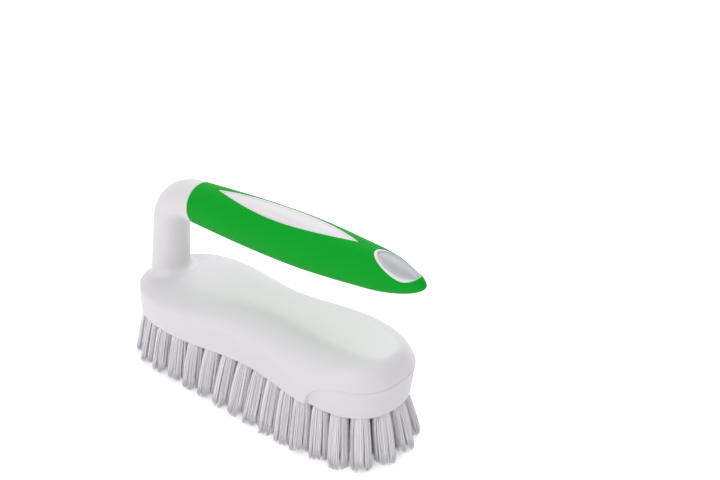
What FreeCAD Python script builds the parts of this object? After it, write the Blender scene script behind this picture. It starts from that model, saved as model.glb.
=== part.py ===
import FreeCAD, Part
import math
import os

from FreeCAD import Vector

# Iron-handled scrub brush: a domed block with a post at its rear end, a handle that reaches forward
# over the block, a soft sleeve on the handle and splayed tufts under the block.
# X runs along the brush with the nose of the handle at +X, Y runs across, Z is up.
# The bristle tips stand on Z = 0. Millimetres and degrees. At the end the whole brush is moved along X
# so that the origin lies under the middle of its length.

# Block
trim_length = 25.5            # bristle tips to the underside of the block
wall_height = 12.0            # upright part of the block's side
dome_height = 15.6            # rounded part above it, at its crest over the front lobe
dome_fall = 15.1              # how much lower the top is at the rear end
dome_bend = 1.7               # power of that fall along the brush
dome_reach = 15.0             # how far the rounding reaches in from the sides
end_share = 0.45              # share of that reach at the two ends, which are blunter
block_rear = -79.5
block_front = 71.0
rear_lobe_place = -46.0
rear_lobe_half = 25.6
waist_place = -2.0
waist_half = 20.6
front_lobe_place = 40.0
front_lobe_half = 25.0
end_fullness = 2.35           # 2 is an ellipse, more is squarer

# Undercut band around the front end of the block
band_start = 37.0             # where its edge leaves the bottom of the block
band_run = 20.0               # length over which that edge curves up to its full height
band_height = 15.0
band_depth = 2.0              # how far the bottom edge is drawn in
band_margin = 0.3             # how far its cutter reaches past the crease

# Post and handle
post_place = -66.6            # axis of the post where the bend starts
post_lean = 6.0               # degrees
post_half_length = 7.8
post_half_width = 9.2
post_spread = 0.7             # how much wider the post is at its foot, all round
post_fillet = 3.2             # radius that blends the post into the block
foot_place = -69.4            # middle of the post's foot on the dome
foot_sink = 0.3               # how far under the dome's top that blend runs out
bend_radius = 18.0
handle_rise = 4.5             # slope of the handle, degrees
handle_height = 87.8          # height of the handle's axis above the tips at X = 0
nose_end = 83.0
grip_start = -46.0

# Grip sleeve, round sections along the axis
grip_rear_radius = 9.8
grip_belly_radius = 11.7
grip_belly_place = 10.0
grip_neck_radius = 9.9
grip_neck_place = 48.0
nose_taper = 1.6              # powers that shape the taper from the neck to the nose
nose_roundness = 0.56
sleeve_thickness = 2.2

# Windows in the sleeve
long_window_rear = -35.0
long_window_front = 48.5
long_window_half = 6.4
small_window_rear = 57.0
small_window_front = 80.0
small_window_half = 6.2
window_step = 0.3             # the window pads lie this much below the sleeve
rim_width = 1.6               # raised rim around each window panel
panel_depth = 0.5             # panel below that rim

# Tufts and their anchors
tuft_diameter = 5.0
tuft_tip_diameter = 8.6
tuft_gathers = 6              # points into which the filaments of a tuft gather towards its tip
groove_depth = 1.6            # grooves between those points, at the tip
root_share = 0.98             # share of the hole that the bundle fills where it starts to flare
tuft_pitch = 9.6
hole_depth = 10.0
ring_inset = 5.2              # outer ring of holes, in from the edge of the underside
ring_step = 8.0               # from the outer ring to the inner one
lean_end = 4.5                # how far the end tufts lean out lengthwise over the trim length
tip_half = 23.9               # half width between the middles of the outer tips, abreast of the waist
tip_widening = 0.04           # how much that half width grows for each mm towards the front
rear_splay = 0.12             # how much it grows again for each mm behind the rear lobe
collar = 1.0                  # straight part of a tuft below the underside
anchor_thickness = 0.5
anchor_height = 1.8
anchor_lift = 2.0             # anchor above the floor of its hole

outline_steps = 8             # points on each quarter end and on each half side
join_tolerance = 0.001        # how near two surfaces are taken as one where the body's pieces are joined


def superellipse(half_length, half_width, turn):
    """Point of a quarter of a superellipse, turn 0 on the length axis and 90 on the width axis."""
    power = 2.0 / end_fullness
    along = half_length * max(0.0, math.cos(math.radians(turn))) ** power
    across = half_width * max(0.0, math.sin(math.radians(turn))) ** power
    return along, across


def side_half_width(x):
    """Half width of the block's side between its two lobes, a cosine blend through the waist."""
    lobe_place, lobe_half = front_lobe_place, front_lobe_half
    if x < waist_place:
        lobe_place, lobe_half = rear_lobe_place, rear_lobe_half
    share = (x - waist_place) / (lobe_place - waist_place)
    return waist_half + (lobe_half - waist_half) * (1 - math.cos(math.pi * share)) / 2


def half_outline():
    """Points of the block's outline on the +Y side, from the rear end to the front end."""
    points = []
    rear_length = rear_lobe_place - block_rear
    front_length = block_front - front_lobe_place
    for step in range(outline_steps):
        along, across = superellipse(rear_length, rear_lobe_half, 90 * step / outline_steps)
        points.append((rear_lobe_place - along, across))
    span = front_lobe_place - rear_lobe_place
    for step in range(2 * outline_steps):
        x = rear_lobe_place + span * step / (2 * outline_steps)
        points.append((x, side_half_width(x)))
    for step in range(outline_steps, -1, -1):
        along, across = superellipse(front_length, front_lobe_half, 90 * step / outline_steps)
        points.append((front_lobe_place + along, across))
    return points


def whole_outline():
    """The closed outline, +Y side from rear to front and then the mirrored side back."""
    upper = half_outline()
    lower = [(x, -y) for x, y in reversed(upper[1:-1])]
    return upper + lower


def inset_outline(points, inset, end_part):
    """Moves each point of a closed outline inwards by inset, and by only a part of it lengthwise."""
    moved = []
    count = len(points)
    for place in range(count):
        before = points[place - 1]
        after = points[(place + 1) % count]
        run, rise = after[0] - before[0], after[1] - before[1]
        length = math.hypot(run, rise)
        x, y = points[place]
        moved.append((x + inset * end_part * rise / length, y - inset * run / length))
    return moved


def ellipse_wire(centre, normal, up, half_up, half_across):
    """Ellipse around centre, square to normal, with half_up measured along up."""
    across = normal.cross(up)
    points = []
    for step in range(2 * outline_steps):
        turn = math.pi * step / outline_steps
        points.append(centre + up * (half_up * math.cos(turn)) + across * (half_across * math.sin(turn)))
    curve = Part.BSplineCurve()
    curve.interpolate(Points=points, PeriodicFlag=True)
    return Part.Wire([curve.toShape()])


def dome_top(x):
    """Height of the dome's middle above the bristle tips."""
    back = abs(front_lobe_place - x) / (front_lobe_place - block_rear)
    return trim_length + wall_height + dome_height - dome_fall * back ** dome_bend


def domed_curve(points, height, share):
    """Closed wire through plan points, raised by a share of the dome's height above each place."""
    raised = []
    for x, y in points[2 * outline_steps:] + points[:2 * outline_steps]:
        raised.append(Vector(x, y, height + share * (dome_top(x) - trim_length - wall_height)))
    curve = Part.BSplineCurve()
    curve.interpolate(Points=raised, PeriodicFlag=True)
    return Part.Wire([curve.toShape()])


def front_band(outline):
    """What the undercut band takes off: a round-ended wedge around a core that narrows downwards."""
    low = trim_length - band_height / 4
    high = trim_length + 1.5 * band_height
    rings = []
    for z in (low, high):
        inset = band_depth * (1 - (z - trim_length) / band_height)
        rings.append(domed_curve(inset_outline(outline, inset, 1), z, 0))
    core = Part.makeLoft(rings, True, True)
    half = 2 * front_lobe_half
    arc = []
    for turn in range(0, 91, 15):
        x = band_start + band_run * (1 - math.cos(math.radians(turn)))
        z = trim_length + (band_height + band_margin) * math.sin(math.radians(turn))
        arc.append(Vector(x, -half, z))
    edge = Part.BSplineCurve()
    edge.interpolate(arc)
    front = 2 * block_front
    sides = Part.makePolygon([arc[-1], Vector(front, -half, arc[-1].z), Vector(front, -half, low),
                              Vector(band_start, -half, low), arc[0]])
    wedge = Part.Face(Part.Wire([edge.toShape()] + sides.Edges))
    return wedge.extrude(Vector(0, 2 * half, 0)).cut(core)


def block_solid():
    """Domed block: stacked outlines, drawn in along a quarter ellipse, and undercut at the front."""
    outline = whole_outline()
    wall_top = trim_length + wall_height
    foot = domed_curve(outline, trim_length, 0)
    sections = []
    for turn in (0, 5, 15, 30, 45, 60, 75, 85, 90):
        across, up = math.cos(math.radians(turn)), math.sin(math.radians(turn))
        drawn_in = inset_outline(outline, dome_reach * (1 - across), end_share)
        sections.append(domed_curve(drawn_in, wall_top, up))
    wall = Part.makeLoft([foot, sections[0]], False, True)
    dome = Part.makeLoft(sections, False, False)
    crown = Part.makeFilledFace(sections[-1].Edges)
    skin = Part.Shell([Part.Face(foot)] + wall.Faces + dome.Faces + [crown])
    skin.sewShape()
    return Part.Solid(skin).cut(front_band(outline)).Solids[0]


slope = math.radians(handle_rise)
handle_along = Vector(math.cos(slope), 0, math.sin(slope))
handle_up = Vector(-math.sin(slope), 0, math.cos(slope))


def on_axis(x):
    """Point of the handle's axis above the place x."""
    return Vector(x, 0, handle_height + x * math.tan(slope))


def stalk_solid():
    """Post and the bend that turns it into the handle: one section swept and blended into another."""
    lean = math.radians(post_lean)
    upward = Vector(math.sin(lean), 0, math.cos(lean))
    forward = Vector(math.cos(lean), 0, -math.sin(lean))
    bend_end = on_axis(post_place + bend_radius * (math.cos(lean) - math.sin(slope)))
    centre = bend_end - handle_up * bend_radius
    bend_start = centre - forward * bend_radius
    bend_middle = centre + (handle_up - forward).normalize() * bend_radius
    foot = bend_start - upward * ((bend_start.z - trim_length - wall_height / 2) / upward.z)
    ring = on_axis(grip_start)
    upright = Part.makeLine(foot, bend_start)
    bend = Part.Arc(bend_start, bend_middle, bend_end).toShape()
    spine = Part.Wire([upright, bend, Part.makeLine(bend_end, ring)])
    sweep = Part.BRepOffsetAPI.MakePipeShell(spine)
    for place, spread in ((foot, post_spread), (bend_start, 0)):
        sweep.add(ellipse_wire(place, upward, forward, post_half_length + spread, post_half_width + spread))
    sweep.add(ellipse_wire(ring, handle_along, handle_up * -1, grip_rear_radius, grip_rear_radius))
    sweep.build()
    sweep.makeSolid()
    return sweep.shape()


def post_foot(stalk):
    """Stalk with a blended foot, made on a slab just under the dome's top and trimmed around the post."""
    low = trim_length + wall_height / 4
    half = 2 * rear_lobe_half
    rear = block_rear - 2 * post_fillet
    reach = [rear + (waist_place - rear) * step / 8 for step in range(9)]
    curve = Part.BSplineCurve()
    curve.interpolate([Vector(x, -half, dome_top(x) - foot_sink) for x in reach])
    sides = Part.makePolygon([curve.EndPoint, Vector(waist_place, -half, low),
                              Vector(rear, -half, low), curve.StartPoint])
    slab = Part.Face(Part.Wire([curve.toShape()] + sides.Edges)).extrude(Vector(0, 2 * half, 0))
    joined = slab.fuse(stalk).Solids[0]
    seam = []
    for edge in joined.Edges:
        ends = [Part.Vertex(point) for point in edge.discretize(5)]
        if max(max(end.distToShape(slab)[0], end.distToShape(stalk)[0]) for end in ends) < 0.02:
            seam.append(edge)
    blended = joined.makeFillet(post_fillet, seam)
    upright = Vector(0, 0, dome_top(waist_place) - low + post_fillet)
    wider = post_spread + post_fillet
    around = ellipse_wire(Vector(foot_place, 0, low), Vector(0, 0, 1), Vector(1, 0, 0),
                          post_half_length + wider, post_half_width + wider)
    inside = domed_curve(inset_outline(whole_outline(), foot_sink, 1), low, 0)
    kept = Part.Face(around).extrude(upright).common(Part.Face(inside).extrude(upright))
    waste = Part.makeBox(2 * half, 2 * half, upright.z, Vector(rear, -half, low))
    return blended.cut(waste.cut(kept)).Solids[0]


def grip_radius(place):
    """Radius of the grip at a share of each stretch: rear to belly, belly to neck, neck to nose."""
    if place < grip_belly_place:
        share = (place - grip_start) / (grip_belly_place - grip_start)
        return grip_rear_radius + (grip_belly_radius - grip_rear_radius) * math.sin(math.pi / 2 * share)
    share = (place - grip_belly_place) / (grip_neck_place - grip_belly_place)
    return grip_belly_radius + (grip_neck_radius - grip_belly_radius) * (1 - math.cos(math.pi / 2 * share))


def handle_turned(inward):
    """Turned body of the handle from the grip's start to its nose, inward mm under the grip's surface."""
    start = on_axis(grip_start)
    nose = nose_end - inward
    points = []
    for step in range(9):
        place = grip_start + (grip_neck_place - grip_start) * step / 8
        points.append((place, grip_radius(place) - inward))
    for turn in (20, 40, 60, 75, 90):
        share = math.sin(math.radians(turn))
        radius = (grip_neck_radius - inward) * (1 - share ** nose_taper) ** nose_roundness
        points.append((grip_neck_place + (nose - grip_neck_place) * share, radius))
    profile = [Vector((place - grip_start) / math.cos(slope), 0, radius) for place, radius in points]
    curve = Part.BSplineCurve()
    curve.interpolate(Points=profile, InitialTangent=Vector(1, 0, 0.05), FinalTangent=Vector(0, 0, -1))
    foot = Vector(0, 0, 0)
    edges = [Part.makeLine(foot, profile[0]), curve.toShape(), Part.makeLine(profile[-1], foot)]
    body = Part.Face(Part.Wire(edges)).revolve(foot, Vector(1, 0, 0), 360)
    body.rotate(foot, Vector(0, 1, 0), -handle_rise)
    body.translate(start)
    return body


def window_prism(rear, front, half, margin, pointed):
    """Upright prism over a window of the sleeve, margin mm inside its edge."""
    length = (front - rear) / math.cos(slope) / 2 - margin
    width = half - margin
    if pointed:
        left = Part.Arc(Vector(-length, 0, 0), Vector(0, width, 0), Vector(length, 0, 0)).toShape()
        right = Part.Arc(Vector(length, 0, 0), Vector(0, -width, 0), Vector(-length, 0, 0)).toShape()
        wire = Part.Wire([left, right])
    else:
        wire = Part.Wire([Part.Ellipse(Vector(0, 0, 0), length, width).toShape()])
    prism = Part.Face(wire).extrude(Vector(0, 0, 2 * grip_belly_radius))
    prism.rotate(Vector(0, 0, 0), Vector(0, 1, 0), -handle_rise)
    prism.translate(on_axis((rear + front) / 2))
    return prism


def window_pad(rear, front, half, pointed):
    """Part of the core that fills a window: a rim just below the sleeve and a sunken panel in it."""
    pad = handle_turned(window_step).common(window_prism(rear, front, half, 0, pointed))
    panel = window_prism(rear, front, half, rim_width, pointed)
    return pad.cut(panel.cut(handle_turned(window_step + panel_depth)))


def underside_edge():
    """Closed outline of the flat underside: the block's outline, drawn in where the band is."""
    outline = whole_outline()
    drawn_in = inset_outline(outline, band_depth, 1)
    return [inner if outer[0] > band_start else outer for outer, inner in zip(outline, drawn_in)]


def evenly_spaced(points, pitch):
    """Places at an even pitch around a closed run of points, starting at its rear end."""
    loop = points + [points[0]]
    lengths = [0.0]
    for first, second in zip(loop, loop[1:]):
        lengths.append(lengths[-1] + math.dist(first, second))
    count = 2 * round(lengths[-1] / pitch / 2)
    places = []
    for number in range(count):
        want = lengths[-1] * (number + 0.5) / count
        leg = max(place for place, length in enumerate(lengths) if length <= want)
        share = (want - lengths[leg]) / (lengths[leg + 1] - lengths[leg])
        first, second = loop[leg], loop[leg + 1]
        places.append((first[0] + share * (second[0] - first[0]), first[1] + share * (second[1] - first[1])))
    return places


def tuft_places():
    """Hole places on the underside for each bristle row."""
    edge = underside_edge()
    outer = evenly_spaced(inset_outline(edge, ring_inset, 1), tuft_pitch)
    inner = evenly_spaced(inset_outline(edge, ring_inset + ring_step, 1), tuft_pitch)
    first = min(x for x, y in inner) + tuft_pitch
    last = max(x for x, y in inner) - tuft_pitch
    centre_count = round((last - first) / tuft_pitch)
    centre = [(first + (last - first) * step / centre_count, 0.0) for step in range(centre_count + 1)]
    rear_limit = rear_lobe_place - tuft_pitch
    front_limit = front_lobe_place - tuft_pitch / 2
    rows = {
        "bristles_outer_rear": [place for place in outer if place[0] < rear_limit],
        "bristles_outer_left": [p for p in outer if rear_limit <= p[0] <= front_limit and p[1] > 0],
        "bristles_outer_right": [p for p in outer if rear_limit <= p[0] <= front_limit and p[1] < 0],
        "bristles_outer_front": [place for place in outer if place[0] > front_limit],
        "bristles_inner_left": [place for place in inner if place[1] > 0],
        "bristles_inner_right": [place for place in inner if place[1] < 0],
        "bristles_centre_row": centre,
    }
    return rows


def tuft_direction(x, y):
    """Unit direction of a tuft, down and leaning out so that the side rows end nearly in a line."""
    middle = (block_rear + block_front) / 2
    lean_x = lean_end * (x - middle) / (block_front - middle - ring_inset)
    beside = min(max(x, rear_lobe_place), front_lobe_place)
    ring_half = side_half_width(beside) - ring_inset
    tip_line = tip_half + tip_widening * (x - waist_place) + rear_splay * max(0, rear_lobe_place - x)
    lean_y = y * (tip_line / ring_half - 1)
    return Vector(lean_x, lean_y, -trim_length).normalize()


def tuft_hole(x, y):
    """Blind hole for a tuft, drilled along the tuft's own direction."""
    along = tuft_direction(x, y)
    start = Vector(x, y, trim_length) - along * hole_depth
    return Part.makeCylinder(tuft_diameter / 2, hole_depth + collar, start, along)


def tuft_anchor(x, y):
    """Flat wire from wall to wall of the hole, a little above its floor."""
    along = tuft_direction(x, y)
    start = Vector(x, y, trim_length) - along * (hole_depth - anchor_lift)
    wire = Part.makeBox(2 * tuft_diameter, anchor_thickness, anchor_height)
    wire.translate(Vector(-tuft_diameter, -anchor_thickness / 2, 0))
    turned = FreeCAD.Placement(start, FreeCAD.Rotation(Vector(0, 0, 1), along))
    wire.Placement = turned.multiply(wire.Placement)
    return wire.common(tuft_hole(x, y))


def gathered_ring(centre, along, radius, groove):
    """Points of a star around centre, square to along: tips at the radius and grooves between them."""
    side = along.cross(Vector(0, 1, 0)).normalize()
    across = along.cross(side)
    points = []
    for step in range(2 * tuft_gathers):
        turn = math.pi * step / tuft_gathers
        reach = radius - groove * (step % 2)
        points.append(centre + side * (reach * math.cos(turn)) + across * (reach * math.sin(turn)))
    return points


def tuft_solid(x, y):
    """Tuft: round in its hole, then flaring and parting into points that all end on the tip plane."""
    along = tuft_direction(x, y)
    collar_end = Vector(x, y, trim_length) + along * collar
    root = gathered_ring(collar_end, along, root_share * tuft_diameter / 2, 0)
    spread = gathered_ring(collar_end + along * trim_length, along, tuft_tip_diameter / 2, groove_depth)
    tips = []
    for high, low in zip(root, spread):
        tips.append(high + (low - high) * (high.z / (high.z - low.z)))
    rings = [Part.makePolygon(ring + ring[:1]) for ring in (root, tips)]
    tuft = tuft_hole(x, y).fuse(Part.makeLoft(rings, True, True))
    return tuft.cut(tuft_anchor(x, y))


def build():
    """Makes every piece and writes one file for each node."""
    rows = tuft_places()
    places = [place for row in rows.values() for place in row]
    core = handle_turned(sleeve_thickness)
    long_window = (long_window_rear, long_window_front, long_window_half, True)
    small_window = (small_window_rear, small_window_front, small_window_half, False)
    pads = [window_pad(*long_window), window_pad(*small_window)]
    body = block_solid().fuse([post_foot(stalk_solid()), core] + pads, join_tolerance)
    sleeve = handle_turned(0).cut(core)
    for rear, front, half, pointed in (long_window, small_window):
        sleeve = sleeve.cut(window_prism(rear, front, half, 0, pointed))
    body = body.cut([tuft_hole(x, y) for x, y in places])
    shapes = {"body_moulding": body, "grip_sleeve": sleeve}
    for name, row in rows.items():
        shapes[name] = Part.makeCompound([tuft_solid(x, y) for x, y in row])
    shapes["anchor_staples"] = Part.makeCompound([tuft_anchor(x, y) for x, y in places])
    rear_tips = shapes["bristles_outer_rear"].optimalBoundingBox().XMin
    to_middle = Vector(-(min(rear_tips, block_rear) + nose_end) / 2, 0, 0)
    os.makedirs("parts", exist_ok=True)
    for name, shape in shapes.items():
        shape.translate(to_middle)
        shape.exportStep("parts/" + name + ".step")
        box = shape.BoundBox
        print(name, len(shape.Solids), shape.isValid(), round(shape.Volume), box)


build()
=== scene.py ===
import math

import bmesh
import bpy
import numpy as np
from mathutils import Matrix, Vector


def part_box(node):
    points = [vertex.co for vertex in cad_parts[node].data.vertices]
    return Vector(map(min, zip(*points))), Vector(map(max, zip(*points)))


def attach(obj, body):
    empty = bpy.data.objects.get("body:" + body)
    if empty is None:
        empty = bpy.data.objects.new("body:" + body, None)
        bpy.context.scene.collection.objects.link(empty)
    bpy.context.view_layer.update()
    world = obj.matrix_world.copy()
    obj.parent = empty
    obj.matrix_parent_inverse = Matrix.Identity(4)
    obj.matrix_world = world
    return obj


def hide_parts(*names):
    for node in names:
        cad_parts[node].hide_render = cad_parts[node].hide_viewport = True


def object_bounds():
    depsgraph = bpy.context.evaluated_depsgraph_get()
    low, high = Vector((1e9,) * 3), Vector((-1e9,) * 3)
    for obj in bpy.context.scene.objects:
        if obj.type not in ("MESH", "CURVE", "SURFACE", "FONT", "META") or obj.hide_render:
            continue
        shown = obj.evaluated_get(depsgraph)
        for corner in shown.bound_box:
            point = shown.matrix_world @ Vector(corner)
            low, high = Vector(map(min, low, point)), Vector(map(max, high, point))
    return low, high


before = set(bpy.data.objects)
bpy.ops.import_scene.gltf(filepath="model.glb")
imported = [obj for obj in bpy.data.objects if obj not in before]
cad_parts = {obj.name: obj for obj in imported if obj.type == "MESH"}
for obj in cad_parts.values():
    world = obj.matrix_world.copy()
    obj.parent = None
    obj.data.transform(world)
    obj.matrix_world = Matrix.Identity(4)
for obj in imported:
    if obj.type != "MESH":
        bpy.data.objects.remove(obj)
cad_bounds = [list(corner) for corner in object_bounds()]


# Block: the waisted, domed lower part of the body, injection moulded in white polypropylene.
# It is one moulding with the post and the handle core; the tufts are set in its flat underside.
# Lengths in metres along X from the place where the drawing starts, near the waist.

nose_end = 0.083
drawing_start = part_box("grip_sleeve")[1][0] - nose_end
trim_length = 0.0255
wall_height = 0.012
wall_top = trim_length + wall_height
dome_height = 0.0156
dome_fall = 0.0151
dome_bend = 1.7
dome_reach = 0.015
end_share = 0.45
block_rear = -0.0795
block_front = 0.071
rear_lobe = -0.046
rear_lobe_half = 0.0256
waist = -0.002
waist_half = 0.0206
front_lobe = 0.040
front_lobe_half = 0.025
end_fullness = 2.35
spine_rear = -0.058
spine_front = 0.050
bottom_edge = 0.0008
band_start = 0.037
band_run = 0.020
band_height = 0.015
band_depth = 0.002
plan_steps = 560
band_row_shares = (0.15, 0.3, 0.45, 0.6, 0.75, 0.87, 0.95, 0.985, 1.0)
side_row_shares = (0, 0.008, 0.025, *np.linspace(0.06, 1, 34))
weld_distance = 0.000001
cloud_scale = 60
gloss_spread = 0.06
bump_strength = 0.5


def block_plan(count):
    """Edge of the block seen from above, in even steps, and the direction inwards at each step.

    Each end is a superellipse: x and y go with a power of the cosine and the sine of a turning
    angle. Each side follows a cosine from one lobe through the waist to the other.
    """
    turn = np.linspace(0, np.pi / 2, 400)
    power = 2 / end_fullness
    rear_x = rear_lobe - (rear_lobe - block_rear) * np.cos(turn) ** power
    rear_y = rear_lobe_half * np.sin(turn) ** power
    front_x = front_lobe + (block_front - front_lobe) * np.sin(turn) ** power
    front_y = front_lobe_half * np.cos(turn) ** power
    side_x = np.linspace(rear_lobe, front_lobe, 800)[1:-1]
    lobe_x = np.where(side_x < waist, rear_lobe, front_lobe)
    lobe_half = np.where(side_x < waist, rear_lobe_half, front_lobe_half)
    share = (side_x - waist) / (lobe_x - waist)
    side_y = waist_half + (lobe_half - waist_half) * (1 - np.cos(np.pi * share)) / 2
    x = np.concatenate([rear_x, side_x, front_x])
    y = np.concatenate([rear_y, side_y, front_y])
    x = np.concatenate([x, x[-2::-1]])
    y = np.concatenate([y, -y[-2::-1]])
    along = np.concatenate([[0], np.cumsum(np.hypot(np.diff(x), np.diff(y)))])
    even = np.linspace(0, along[-1], count, endpoint=False)
    x = np.interp(even, along, x)
    y = np.interp(even, along, y)
    run = np.roll(x, -1) - np.roll(x, 1)
    rise = np.roll(y, -1) - np.roll(y, 1)
    length = np.hypot(run, rise)
    return x, y, rise / length, -run / length


def dome_top(x):
    """Height of the dome's crown: highest over the front lobe, lower with a power of the way from it."""
    share = np.abs(front_lobe - x) / (front_lobe - block_rear)
    return wall_top + dome_height - dome_fall * share ** dome_bend


def block_grid():
    """Grid of points over the block, rows from the middle of its underside to the middle of its crown.

    Below the crease of the front band the side is drawn in, most at the bottom. Above it the side is
    upright, then a quarter ellipse whose height is the dome's at that place.
    """
    x, y, in_x, in_y = block_plan(plan_steps)
    spine = np.clip(x, spine_rear, spine_front)
    to_full = np.clip(band_start + band_run - x, 0, band_run) / band_run
    crease = band_height * np.sqrt(1 - to_full ** 2)
    in_band = crease > bottom_edge
    crease = np.maximum(crease, bottom_edge)

    def band_inset(height):
        """How far the band is drawn in, in step with the height that is missing to its full one."""
        return np.where(in_band, band_depth * (1 - height / band_height), 0)

    turn = np.linspace(0, np.pi / 2, 5)[:, None]
    edge_height = bottom_edge * (1 - np.cos(turn)) + 0 * x
    edge_inset = bottom_edge * (1 - np.sin(turn)) + band_inset(edge_height)
    band_level = bottom_edge + (crease - bottom_edge) * np.array(band_row_shares)[:, None]
    low_height = np.concatenate([edge_height, band_level])
    low_inset = np.concatenate([edge_inset, band_inset(band_level)])
    low_x = x + low_inset * in_x
    low_y = y + low_inset * in_y

    share = np.linspace(0, 1, 12)[:-1, None]
    under_x = spine + (low_x[0] - spine) * share
    under_y = low_y[0] * share
    under_height = 0 * under_x

    dome = dome_top(x) - wall_top
    over_wall = np.arcsin(np.clip((crease - wall_height) / dome, 0, 1)) / (np.pi / 2)
    start = np.where(crease < wall_height, crease / wall_height, 1 + over_wall)
    place = start + (2 - start) * np.array(side_row_shares)[:, None]
    turn = np.clip(place - 1, 0, 1) * np.pi / 2
    inset = dome_reach * (1 - np.cos(turn))
    side_x = x + inset * end_share * in_x
    side_y = y + inset * in_y
    side_height = wall_height * np.clip(place, 0, 1) + np.sin(turn) * (dome_top(side_x) - wall_top)

    share = np.linspace(0, 1, 14)[1:, None]
    crown_x = side_x[-1] + (spine - side_x[-1]) * share
    crown_y = side_y[-1] * (1 - share)
    crown_height = dome_top(crown_x) - trim_length

    grid_x = np.concatenate([under_x, low_x, side_x, crown_x]) + drawing_start
    grid_y = np.concatenate([under_y, low_y, side_y, crown_y])
    grid_z = np.concatenate([under_height, low_height, side_height, crown_height]) + trim_length
    return np.stack([grid_x, grid_y, grid_z], axis=-1)


def skin(name, grid, joined=True):
    """Piece made of one quad between neighbouring rows and columns of a grid of points.

    With joined set, the last column meets the first. Points in one place are welded, which closes
    seams and poles, and the faces are turned outwards.
    """
    rows, columns = grid.shape[:2]
    row = np.arange(rows - 1)[:, None]
    column = np.arange(columns if joined else columns - 1)[None, :]
    after = (column + 1) % columns
    corners = [row * columns + column, row * columns + after,
               (row + 1) * columns + after, (row + 1) * columns + column]
    faces = np.stack(corners, axis=-1).reshape(-1, 4)
    mesh = bpy.data.meshes.new(name)
    mesh.from_pydata(grid.reshape(-1, 3).tolist(), [], faces.tolist())
    shape = bmesh.new()
    shape.from_mesh(mesh)
    bmesh.ops.remove_doubles(shape, verts=shape.verts, dist=weld_distance)
    bmesh.ops.recalc_face_normals(shape, faces=shape.faces)
    shape.to_mesh(mesh)
    shape.free()
    mesh.shade_smooth()
    piece = bpy.data.objects.new(name, mesh)
    bpy.context.scene.collection.objects.link(piece)
    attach(piece, "root")
    return piece


def grain_group():
    """Texture of a mould's face on Object coordinates: fine grain as a height, broad clouds as a tone."""
    group = bpy.data.node_groups.new("mould_grain", "ShaderNodeTree")
    group.interface.new_socket("Grain", in_out="INPUT", socket_type="NodeSocketFloat")
    group.interface.new_socket("Height", in_out="OUTPUT", socket_type="NodeSocketFloat")
    group.interface.new_socket("Tone", in_out="OUTPUT", socket_type="NodeSocketFloat")
    nodes, links = group.nodes, group.links
    given = nodes.new("NodeGroupInput")
    result = nodes.new("NodeGroupOutput")
    place = nodes.new("ShaderNodeTexCoord")
    fine = nodes.new("ShaderNodeTexNoise")
    fine.inputs["Detail"].default_value = 3
    broad = nodes.new("ShaderNodeTexNoise")
    broad.inputs["Scale"].default_value = cloud_scale
    broad.inputs["Detail"].default_value = 4
    links.new(place.outputs["Object"], fine.inputs["Vector"])
    links.new(place.outputs["Object"], broad.inputs["Vector"])
    links.new(given.outputs["Grain"], fine.inputs["Scale"])
    links.new(fine.outputs["Fac"], result.inputs["Height"])
    links.new(broad.outputs["Fac"], result.inputs["Tone"])
    return group


mould_grain = grain_group()


def moulded(name, colour, dark, roughness, grain, depth):
    """Plastic from a textured mould: tone and roughness vary a little in clouds, over a fine bump."""
    material = bpy.data.materials.new(name)
    material.use_nodes = True
    nodes, links = material.node_tree.nodes, material.node_tree.links
    shader = nodes["Principled BSDF"]
    texture = nodes.new("ShaderNodeGroup")
    texture.node_tree = mould_grain
    texture.inputs["Grain"].default_value = grain
    tone = nodes.new("ShaderNodeMix")
    tone.data_type = "RGBA"
    tone.inputs["A"].default_value = (*dark, 1)
    tone.inputs["B"].default_value = (*colour, 1)
    gloss = nodes.new("ShaderNodeMapRange")
    gloss.inputs["To Min"].default_value = roughness - gloss_spread
    gloss.inputs["To Max"].default_value = roughness + gloss_spread
    bump = nodes.new("ShaderNodeBump")
    bump.inputs["Strength"].default_value = bump_strength
    bump.inputs["Distance"].default_value = depth
    links.new(texture.outputs["Tone"], tone.inputs["Factor"])
    links.new(texture.outputs["Tone"], gloss.inputs["Value"])
    links.new(texture.outputs["Height"], bump.inputs["Height"])
    links.new(tone.outputs["Result"], shader.inputs["Base Color"])
    links.new(gloss.outputs["Result"], shader.inputs["Roughness"])
    links.new(bump.outputs["Normal"], shader.inputs["Normal"])
    return material


white_plastic = moulded("white_plastic", colour=(0.775, 0.752, 0.779), dark=(0.745, 0.722, 0.749),
                        roughness=0.42, grain=2600, depth=0.00006)

block = skin("block", block_grid())
block.data.materials.append(white_plastic)
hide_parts("body_moulding")


# Post: the upright at the rear end and the bend that turns it forward into the handle.
# Same moulding as the block, so its foot runs out on the dome in a soft blend.

post_place = -0.0666
post_lean = math.radians(6)
post_half_length = 0.0078
post_half_width = 0.0092
post_spread = 0.0007
foot_front_blend = 0.0042
foot_rear_blend = 0.0012
foot_blend_power = 0.6
foot_sink = 0.00002
foot_root = 0.0025
bend_radius = 0.018
slope = math.radians(4.5)
handle_height = 0.0878
grip_start = -0.046
grip_rear_radius = 0.0098
groove_depth = 0.0003
groove_width = 0.0006
under_sleeve = 0.002
share_slack = 0.000001


def handle_axis(place):
    """Points of the handle's axis above places along the brush: a straight line with the handle's slope."""
    return np.stack([place, 0 * place, handle_height + place * math.tan(slope)], axis=-1)


def mesh_points(mesh):
    """Places of a mesh's points, one row each."""
    points = np.empty(len(mesh.vertices) * 3)
    mesh.vertices.foreach_get("co", points)
    return points.reshape(-1, 3)


def mesh_triangles(mesh):
    """Numbers of the three points of each of a mesh's triangles, one row each."""
    mesh.calc_loop_triangles()
    corners = np.empty(len(mesh.loop_triangles) * 3, dtype=int)
    mesh.loop_triangles.foreach_get("vertices", corners)
    return corners.reshape(-1, 3)


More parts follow.
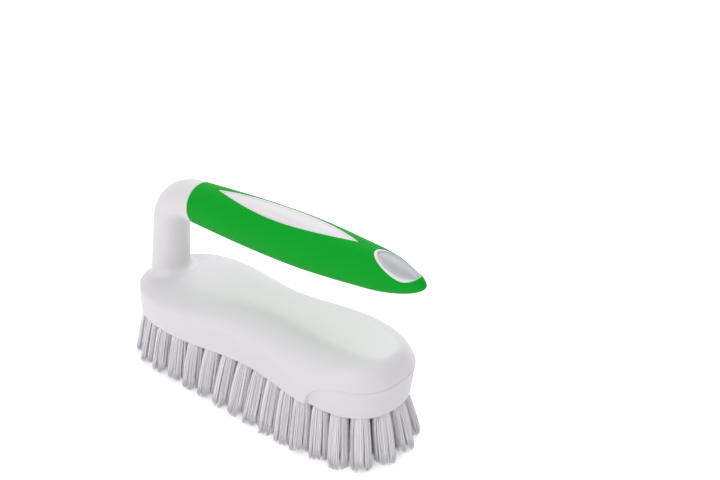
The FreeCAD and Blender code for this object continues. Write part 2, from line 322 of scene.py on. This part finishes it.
def dome_height_at(x, y):
    """Height of the dome's skin at places in the plan, or the top of the wall where there is no dome.

    In every triangle near by, a place is a mix of the three corners in shares that add up to one. It
    lies inside where no share is negative, and the same shares give its height. The second and the
    third corner are measured from the first.
    """
    plan_x = x.reshape(-1, 1) + drawing_start
    plan_y = y.reshape(-1, 1)
    corners = mesh_points(block.data)[mesh_triangles(block.data)]
    corner_x, corner_y, corner_z = np.moveaxis(corners, -1, 0)
    near_x = (corner_x.max(axis=1) >= plan_x.min()) & (corner_x.min(axis=1) <= plan_x.max())
    near_y = (corner_y.max(axis=1) >= plan_y.min()) & (corner_y.min(axis=1) <= plan_y.max())
    corners = corners[near_x & near_y & (corner_z.min(axis=1) > wall_top)]
    first_x, first_y, first_z = corners[:, 0].T
    second_x, second_y, second_z = (corners[:, 1] - corners[:, 0]).T
    third_x, third_y, third_z = (corners[:, 2] - corners[:, 0]).T
    off_x = plan_x - first_x
    off_y = plan_y - first_y
    area = second_x * third_y - second_y * third_x
    second_share = (off_x * third_y - off_y * third_x) / area
    third_share = (off_y * second_x - off_x * second_y) / area
    first_share = 1 - second_share - third_share
    inside = np.minimum(np.minimum(first_share, second_share), third_share) > -share_slack
    height = first_z + second_share * second_z + third_share * third_z
    return np.where(inside, height, wall_top).max(axis=1).reshape(x.shape)


def post_grid():
    """Ellipses carried up the leaning post, round the bend and on to the sleeve, above the foot's blend.

    The blend is a quarter round set on the block's skin. Its radius is smaller at the rear, where the
    block ends. A fine groove marks the joint with the sleeve.
    """
    turn = np.linspace(0, 2 * np.pi, 120, endpoint=False)
    front, side = np.cos(turn), np.sin(turn)
    bend_run = bend_radius * (math.cos(post_lean) - math.sin(slope))
    bend_end = handle_axis(np.array(post_place + bend_run))
    centre = bend_end - bend_radius * np.array([-math.sin(slope), 0, math.cos(slope)])

    heading = np.linspace(np.pi / 2 - post_lean, slope, 40)
    left = np.stack([-np.sin(heading), 0 * heading, np.cos(heading)], axis=-1)
    bend = centre + bend_radius * left
    groove = grip_start - groove_width
    to_groove = np.linspace(bend_end[0], groove, 8)[1:]
    straight = handle_axis(np.array([*to_groove, groove + groove_width / 2, grip_start + under_sleeve]))
    line = np.concatenate([bend, straight])
    left = np.concatenate([left, np.repeat(left[-1:], len(straight), axis=0)])
    gone = np.concatenate([[0], np.cumsum(np.linalg.norm(np.diff(line, axis=0), axis=1))])
    share = np.clip(gone / gone[-3], 0, 1)
    half_length = post_half_length + (grip_rear_radius - post_half_length) * share
    half_width = post_half_width + (grip_rear_radius - post_half_width) * share
    half_length[-2:] -= groove_depth
    half_width[-2:] -= groove_depth
    across = np.array([0, 1, 0])
    upper = (line[:, None, :] - left[:, None, :] * (half_length[:, None] * front)[..., None]
             + across * (half_width[:, None] * side)[..., None])

    start = bend[0]
    towards_front = (0.5 + 0.5 * front) ** foot_blend_power
    blend = foot_rear_blend + (foot_front_blend - foot_rear_blend) * towards_front
    round_turn = np.linspace(0, np.pi / 2, 10)[:, None]
    out = blend * (1 - np.sin(round_turn))
    up = blend * (1 - np.cos(round_turn))
    foot_x = start[0] - (start[2] - dome_top(post_place)) * math.tan(post_lean)
    low_x = foot_x + (post_half_length + post_spread + out) * front
    low_y = (post_half_width + post_spread + out) * side
    low_z = dome_height_at(low_x, low_y) + up - foot_sink
    low = np.stack([low_x, low_y, low_z], axis=-1)
    share = np.linspace(0, 1, 16)[1:-1, None, None]
    middle = low[-1] + (upper[0] - low[-1]) * share
    sunk = low[0] - np.array([0, 0, foot_root])
    bottom = 0 * sunk + np.array([foot_x, 0, sunk[0, 2]])
    cap = 0 * sunk + line[-1]
    grid = np.concatenate([bottom[None], sunk[None], low, middle, upper, cap[None]])
    return grid + np.array([drawing_start, 0, 0])


post = skin("post", post_grid())
post.data.materials.append(white_plastic)
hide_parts("body_moulding")


# Grip sleeve: soft green thermoplastic rubber moulded over the handle core, closed round the nose.
# A long pointed window and a small oval one are left open on top, where the core shows.
# Each window is given by its rear end, its front end and its half width.

belly_radius = 0.0117
belly_place = 0.010
neck_radius = 0.0099
neck_place = 0.048
neck_fade = 7
nose_taper = 1.6
nose_roundness = 0.56
long_window = (-0.035, 0.0485, 0.0064)
small_window = (0.057, 0.080, 0.0062)
sleeve_thickness = 0.0020
sleeve_edge = 0.0004
sharp_edge = math.radians(50)
soft_sheen = 0.12
least_radius = 0.000001


def grip_radius(place):
    """Radius of the grip: a quarter sine to the belly, a quarter cosine to the neck, powers to the nose.

    The slope at the neck is carried on past it and fades out, so that there is no crease.
    """
    neck_slope = (belly_radius - neck_radius) * np.pi / 2 / (neck_place - belly_place)
    rear = (place - grip_start) / (belly_place - grip_start)
    front = (place - belly_place) / (neck_place - belly_place)
    nose = np.clip((place - neck_place) / (nose_end - neck_place), 0, 1)
    to_belly = grip_rear_radius + (belly_radius - grip_rear_radius) * np.sin(np.pi / 2 * rear)
    to_neck = belly_radius + (neck_radius - belly_radius) * (1 - np.cos(np.pi / 2 * front))
    carried = neck_slope * (place - neck_place) * (1 - nose) ** neck_fade
    to_nose = (neck_radius - carried) * (1 - nose ** nose_taper) ** nose_roundness
    return np.where(place < belly_place, to_belly, np.where(place < neck_place, to_neck, to_nose))


def pointed_half(place, window, margin=0):
    """Half width of a window between two arcs that meet in points, margin outside its edge."""
    rear, front, half = window
    length = (front - rear) / 2 + margin
    width = half + margin
    arc = (length ** 2 + width ** 2) / (2 * width)
    along = np.clip(place - (rear + front) / 2, -length, length)
    return np.sqrt(arc ** 2 - along ** 2) - (arc - width)


def oval_half(place, window, margin=0):
    """Half width of an elliptical window, margin outside its edge."""
    rear, front, half = window
    length = (front - rear) / 2 + margin
    along = np.clip((place - (rear + front) / 2) / length, -1, 1)
    return (half + margin) * np.sqrt(1 - along ** 2)


def on_grip(place, radius, turn):
    """Points at a radius round the handle's axis, turn measured from its top."""
    up = np.array([-math.sin(slope), 0, math.cos(slope)])
    across = np.array([0, 1, 0])
    round_axis = np.cos(turn)[..., None] * up + np.sin(turn)[..., None] * across
    return handle_axis(place) + radius[..., None] * round_axis + np.array([drawing_start, 0, 0])


def sleeve_grid():
    """Turned surface of the grip, each row running round from one edge of a window to its other edge."""
    swing = (1 - np.cos(np.linspace(0, np.pi, 44))) / 2
    places = np.concatenate([
        np.linspace(grip_start, long_window[0], 12)[:-1],
        np.linspace(long_window[0], long_window[1], 120),
        np.linspace(long_window[1], small_window[0], 8)[1:-1],
        small_window[0] + (small_window[1] - small_window[0]) * swing,
        small_window[1] + (nose_end - small_window[1]) * np.sin(np.linspace(0, np.pi / 2, 18))[1:]])
    radius = grip_radius(places)
    half = pointed_half(places, long_window) + oval_half(places, small_window)
    edge = np.arcsin(np.clip(half / np.maximum(radius, least_radius), 0, 1))[:, None]
    turn = edge + (2 * np.pi - 2 * edge) * np.linspace(0, 1, 121)
    return on_grip(places[:, None] + 0 * turn, radius[:, None] + 0 * turn, turn)


soft_grip = moulded("green_soft_grip", colour=(0.0, 0.38, 0.022), dark=(0.0, 0.34, 0.018),
                    roughness=0.62, grain=3200, depth=0.00008)
soft_grip.node_tree.nodes["Principled BSDF"].inputs["Specular IOR Level"].default_value = soft_sheen

grip_sleeve = skin("sleeve", sleeve_grid(), joined=False)
grip_sleeve.data.materials.append(soft_grip)
wall = grip_sleeve.modifiers.new("sleeve_wall", "SOLIDIFY")
wall.thickness = sleeve_thickness
wall.offset = -1
rounding = grip_sleeve.modifiers.new("sleeve_edges", "BEVEL")
rounding.width = sleeve_edge
rounding.segments = 2
rounding.limit_method = "ANGLE"
rounding.angle_limit = sharp_edge
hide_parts("grip_sleeve")


# Window pads: the white core where it fills the sleeve's two windows, part of the body moulding.
# Each is a raised rim just below the sleeve's surface with a shallow sunken panel inside it, left bare.

window_step = 0.0003
rim_width = 0.0016
rim_fall = 0.0007
panel_depth = 0.0005
pad_margin = 0.0006
pad_thickness = sleeve_thickness / 2
# The small pad's rim is painted whiter than the rest of the white plastic, as a highlight.
rim_painted_highlight = 0.88
# Painted shade on the small panel: where it starts inside the window's edge, and how far it takes to be
# full.
painted_shade_start = 0.0004
painted_shade_run = 0.0010


def pad_grid(window, half_width):
    """Grid over a window on the grip's surface, lowered by the step.

    Inside the rim it goes down further to the panel's depth, on a smooth step across the rim's fall.
    """
    rear, front, half = window
    swing = (1 - np.cos(np.linspace(0, np.pi, 120))) / 2
    places = (rear - pad_margin + (front - rear + 2 * pad_margin) * swing)[:, None]
    side = np.sin(np.linspace(-np.pi / 2, np.pi / 2, 61))
    across = half_width(places, window, pad_margin) * side
    inner = (rear + rim_width, front - rim_width, half - rim_width)
    inside = half_width(places, inner) - np.abs(across)
    ease = np.clip(inside / rim_fall, 0, 1)
    panel = panel_depth * ease ** 2 * (3 - 2 * ease)
    radius = grip_radius(places) - window_step - panel
    return on_grip(places + 0 * across, radius, np.arcsin(np.clip(across / radius, -1, 1)))


def panel_share(pad, window, half_width):
    """Writes to each pad point how far it lies in the panel's painted shade: 0 on the rim's edge, 1 inside.
    """
    points = mesh_points(pad.data)
    inside = half_width(points[:, 0] - drawing_start, window) - np.abs(points[:, 1])
    share = pad.data.attributes.new("panel", "FLOAT", "POINT")
    share.data.foreach_set("value", np.clip((inside - painted_shade_start) / painted_shade_run, 0, 1))


def painted_light_panel_material():
    """Rim painted whiter as a highlight and panel painted grey as shade, mixed by the share written on the
    pad's points.
    """
    material = moulded("panel_painted_light", colour=(0.475, 0.498, 0.512), dark=(0.445, 0.468, 0.482),
                       roughness=0.38, grain=2600, depth=0.00004)
    nodes, links = material.node_tree.nodes, material.node_tree.links
    colour = nodes["Principled BSDF"].inputs["Base Color"]
    share = nodes.new("ShaderNodeAttribute")
    share.attribute_name = "panel"
    rim = nodes.new("ShaderNodeMix")
    rim.data_type = "RGBA"
    rim.inputs["A"].default_value = (rim_painted_highlight, rim_painted_highlight, rim_painted_highlight, 1)
    links.new(share.outputs["Fac"], rim.inputs["Factor"])
    links.new(colour.links[0].from_socket, rim.inputs["B"])
    links.new(rim.outputs["Result"], colour)
    return material


# Small pad: white core with a painted highlight on its rim and painted shade in grey on its panel.
small_pad_painted_light = painted_light_panel_material()

for name, window, half_width, material in (("long_window_pad", long_window, pointed_half, white_plastic),
                                           ("small_window_pad", small_window, oval_half, small_pad_painted_light)):
    pad = skin(name, pad_grid(window, half_width), joined=False)
    pad.data.materials.append(material)
    panel_share(pad, window, half_width)
    wall = pad.modifiers.new("pad_wall", "SOLIDIFY")
    wall.thickness = pad_thickness
    wall.offset = -1
    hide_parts("body_moulding")


# Bristles: bundles of drawn white polypropylene filaments, each folded over its staple in a blind hole.
# They fan out of the hole, gather in points at the tips and are trimmed nearly level.

filaments_per_tuft = 280
filament_radius = 0.00017
filament_sides = 4
filament_rings = 6
tip_taper = 0.95
upper_end_above = 0.03
tip_end_below = 0.0005
root_lift = 0.0015
root_spread = 0.0030
tip_spread = 0.0052
golden_angle = math.pi * (3 - math.sqrt(5))
spiral_power = 0.34
flare_power = 0.7
gathers = 6
gather_reach = 0.72
gather_pull = 0.25
gather_jitter = 0.12
clumps = 13
clump_likeness = 0.65
longest_short = 0.0036
widest_bow = 0.00035
bristle_seed = 7


def tuft_ends(node):
    """Middle of the upper end and of the tip of each tuft in a CAD node.

    Triangles are gathered into solids by passing the smallest point number along shared corners.
    """
    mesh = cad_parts[node].data
    points, same = np.unique(mesh_points(mesh).round(7), axis=0, return_inverse=True)
    triangles = same.reshape(-1)[mesh_triangles(mesh)]
    label = np.arange(len(points))
    before = None
    while before is None or (label != before).any():
        before = label.copy()
        least = label[triangles].min(axis=1)
        np.minimum.at(label, triangles, least[:, None])
        label = label[label]

    def middles(part):
        """Mean of those points of each solid that lie in one part of the height."""
        return np.array([points[(label == solid) & part].mean(axis=0) for solid in np.unique(label)])

    return middles(points[:, 2] > upper_end_above), middles(points[:, 2] < tip_end_below)


def filament_lines(upper, tips, chance):
    """Middle lines of all filaments of some tufts, as tufts x filaments x rings x 3.

    A filament starts on a sunflower spiral in the hole and ends on a wider one, pulled part of the way
    to the nearest gathering point: one in the middle and a ring of others, as on the CAD tuft. It has a
    slight bow sideways. Its tip is a little short, by nearly the same in each clump round the tuft.
    """
    tufts = len(upper)
    number = np.arange(filaments_per_tuft)
    reach = ((number + 0.5) / filaments_per_tuft) ** spiral_power
    swirl = number * golden_angle + chance.uniform(0, 2 * np.pi, (tufts, 1))
    spiral = np.stack([reach * np.cos(swirl), reach * np.sin(swirl)], axis=-1)
    even_turn = np.arange(gathers) * 2 * np.pi / gathers
    gather_turn = even_turn + chance.normal(0, gather_jitter, (tufts, gathers))
    gather = gather_reach * np.stack([np.cos(gather_turn), np.sin(gather_turn)], axis=-1)
    gather = np.concatenate([gather, np.zeros((tufts, 1, 2))], axis=1)
    apart = np.linalg.norm(spiral[:, :, None] - gather[:, None], axis=-1)
    nearest = np.take_along_axis(gather, apart.argmin(axis=-1)[..., None], axis=1)
    pulled = spiral + gather_pull * (nearest - spiral)

    clump = (swirl / (2 * np.pi) * clumps).astype(int) % clumps
    own_short = chance.random((tufts, filaments_per_tuft))
    clump_short = np.take_along_axis(chance.random((tufts, clumps)) ** 2, clump, axis=1)
    short = longest_short * ((1 - clump_likeness) * own_short + clump_likeness * clump_short)
    share = np.linspace(0, 1, filament_rings)
    root_height = trim_length + root_lift
    height = root_height - (root_height - short)[..., None] * share

    top = upper[:, None, None]
    lean = (tips - upper) / (upper[:, 2:] - tips[:, 2:])
    centre = top[..., :2] + lean[:, None, None, :2] * (top[..., 2:] - height[..., None])
    narrow = (root_spread * (1 - share))[:, None] * spiral[:, :, None]
    wide = (tip_spread * share ** flare_power)[:, None] * pulled[:, :, None]
    bow_turn = chance.uniform(0, 2 * np.pi, (tufts, filaments_per_tuft, 1))
    bow = chance.uniform(0, widest_bow, (tufts, filaments_per_tuft, 1)) * np.sin(np.pi * share)
    sideways = np.stack([bow * np.cos(bow_turn), bow * np.sin(bow_turn)], axis=-1)
    least, most = np.array(cad_bounds)[:, :2]
    plan = centre + narrow + wide + sideways
    plan = np.clip(plan, least + filament_radius, most - filament_radius)
    return np.concatenate([plan, height[..., None]], axis=-1)


def filament_mesh(name, lines, chance):
    """Thin tubes round the middle lines, with a closed tip and one tone for each filament."""
    rings = lines.reshape(-1, filament_rings, 3)
    count = len(rings)
    turn = np.arange(filament_sides) * 2 * np.pi / filament_sides
    round_line = np.stack([np.cos(turn), np.sin(turn), 0 * turn], axis=-1) * filament_radius
    taper = np.linspace(1, tip_taper, filament_rings)[:, None, None]
    points = rings[:, :, None] + round_line * taper
    first = np.arange(count)[:, None, None] * filament_rings * filament_sides
    ring = np.arange(filament_rings - 1)[:, None] * filament_sides
    side = np.arange(filament_sides)
    after = (side + 1) % filament_sides
    corners = [first + ring + after, first + ring + side,
               first + ring + filament_sides + side, first + ring + filament_sides + after]
    walls = np.stack(corners, axis=-1).reshape(-1, 4).tolist()
    tips = (first[:, 0] + (filament_rings - 1) * filament_sides + side[::-1]).tolist()
    mesh = bpy.data.meshes.new(name)
    mesh.from_pydata(points.reshape(-1, 3).tolist(), [], walls + tips)
    mesh.shade_smooth()
    tone = mesh.attributes.new("tone", "FLOAT", "POINT")
    tone.data.foreach_set("value", np.repeat(chance.random(count), filament_rings * filament_sides))
    piece = bpy.data.objects.new(name, mesh)
    bpy.context.scene.collection.objects.link(piece)
    return piece


def bristle_material():
    """Milky filaments with a soft gloss, whose tone differs a little from one to the next."""
    material = bpy.data.materials.new("white_bristle")
    material.use_nodes = True
    nodes, links = material.node_tree.nodes, material.node_tree.links
    shader = nodes["Principled BSDF"]
    shader.inputs["Roughness"].default_value = 0.5
    tone = nodes.new("ShaderNodeAttribute")
    tone.attribute_name = "tone"
    colour = nodes.new("ShaderNodeMix")
    colour.data_type = "RGBA"
    colour.inputs["A"].default_value = (0.92, 0.905, 0.94, 1)
    colour.inputs["B"].default_value = (0.97, 0.955, 0.985, 1)
    links.new(tone.outputs["Fac"], colour.inputs["Factor"])
    links.new(colour.outputs["Result"], shader.inputs["Base Color"])
    return material


white_bristle = bristle_material()
chance = np.random.default_rng(bristle_seed)

for node in sorted(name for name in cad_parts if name.startswith("bristles")):
    upper, tips = tuft_ends(node)
    bristles = filament_mesh(node + "_filaments", filament_lines(upper, tips, chance), chance)
    bristles.data.materials.append(white_bristle)
    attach(bristles, "root")
    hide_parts(node)


# Anchor staples: short flat steel wires driven across the tuft holes, hidden once the tufts are in.
# They keep their CAD solids and get a plain steel.

staple_steel = bpy.data.materials.new("staple_wire")
staple_steel.use_nodes = True
steel = staple_steel.node_tree.nodes["Principled BSDF"]
steel.inputs["Base Color"].default_value = (0.6, 0.6, 0.6, 1)
steel.inputs["Metallic"].default_value = 1
steel.inputs["Roughness"].default_value = 0.35
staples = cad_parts["anchor_staples"]
staples.data.materials.clear()
staples.data.materials.append(staple_steel)


# Studio: a white floor that keeps a soft shadow, a white surround and two large soft lamps.
# The surround is white where the camera sees it and dimmer as a light.

floor_size = 6.0
floor_lift = 0.4
surround = 0.61
lamp_aim = (0, 0, 0.05)


def studio_floor():
    """White floor. Seen directly it is lifted towards white, so that only the shadow darkens it."""
    material = bpy.data.materials.new("studio_floor")
    material.use_nodes = True
    nodes, links = material.node_tree.nodes, material.node_tree.links
    shader = nodes["Principled BSDF"]
    shader.inputs["Base Color"].default_value = (0.9, 0.9, 0.9, 1)
    shader.inputs["Roughness"].default_value = 0.9
    shader.inputs["Emission Color"].default_value = (1, 1, 1, 1)
    rays = nodes.new("ShaderNodeLightPath")
    direct = nodes.new("ShaderNodeMath")
    direct.operation = "MAXIMUM"
    seen = nodes.new("ShaderNodeMath")
    seen.operation = "MAXIMUM"
    lift = nodes.new("ShaderNodeMath")
    lift.operation = "MULTIPLY"
    lift.inputs[1].default_value = floor_lift
    links.new(rays.outputs["Is Camera Ray"], direct.inputs[0])
    links.new(rays.outputs["Is Glossy Ray"], direct.inputs[1])
    links.new(direct.outputs["Value"], seen.inputs[0])
    links.new(rays.outputs["Is Transmission Ray"], seen.inputs[1])
    links.new(seen.outputs["Value"], lift.inputs[0])
    links.new(lift.outputs["Value"], shader.inputs["Emission Strength"])
    return material


half = floor_size / 2
floor_corners = [(-half, -half, 0), (half, -half, 0), (half, half, 0), (-half, half, 0)]
floor_mesh = bpy.data.meshes.new("floor")
floor_mesh.from_pydata(floor_corners, [], [(0, 1, 2, 3)])
floor_mesh.materials.append(studio_floor())
floor = bpy.data.objects.new("floor", floor_mesh)
bpy.context.scene.collection.objects.link(floor)

world = bpy.data.worlds.new("surround")
bpy.context.scene.world = world
world.use_nodes = True
world_nodes, world_links = world.node_tree.nodes, world.node_tree.links
background = world_nodes["Background"]
background.inputs["Color"].default_value = (1, 1, 1, 1)
world_rays = world_nodes.new("ShaderNodeLightPath")
level = world_nodes.new("ShaderNodeMapRange")
level.inputs["To Min"].default_value = surround
level.inputs["To Max"].default_value = 1
world_links.new(world_rays.outputs["Is Camera Ray"], level.inputs["Value"])
world_links.new(level.outputs["Result"], background.inputs["Strength"])


def soft_lamp(name, place, aim, width, power):
    """Square soft lamp, turned to the heading and the height of the line from its aim to its place."""
    light = bpy.data.lights.new(name, "AREA")
    light.size = width
    light.energy = power
    lamp = bpy.data.objects.new(name, light)
    lamp.location = place
    away = np.array(place) - np.array(aim)
    heading = math.atan2(away[1], away[0])
    height = math.atan2(away[2], math.hypot(away[0], away[1]))
    lamp.rotation_euler = (math.pi / 2 - height, 0, heading + math.pi / 2)
    bpy.context.scene.collection.objects.link(lamp)


soft_lamp("back_lamp", place=(-0.5, 1.2, 1.2), aim=lamp_aim, width=1.6, power=14.5)
soft_lamp("front_lamp", place=(0.1, -1.1, 0.8), aim=lamp_aim, width=1.0, power=6.2)


# Camera: a long lens above the nose's right side, with the brush in the lower left of the picture.
# The lens and its sensor are in millimetres.

view_azimuth = math.radians(40.5)
view_height = math.radians(32)
view_distance = 0.8
view_aim = np.array([drawing_start + 0.00329, 0.05197, 0.05983])
view_back = np.array([math.sin(view_azimuth) * math.cos(view_height),
                      -math.cos(view_azimuth) * math.cos(view_height), math.sin(view_height)])
lens = bpy.data.cameras.new("camera")
lens.lens = 86.52
lens.sensor_width = 36
camera = bpy.data.objects.new("camera", lens)
camera.location = view_aim + view_distance * view_back
camera.rotation_euler = (math.pi / 2 - view_height, 0, view_azimuth)
bpy.context.scene.collection.objects.link(camera)
bpy.context.scene.camera = camera

bpy.context.scene.view_settings.view_transform = "Standard"
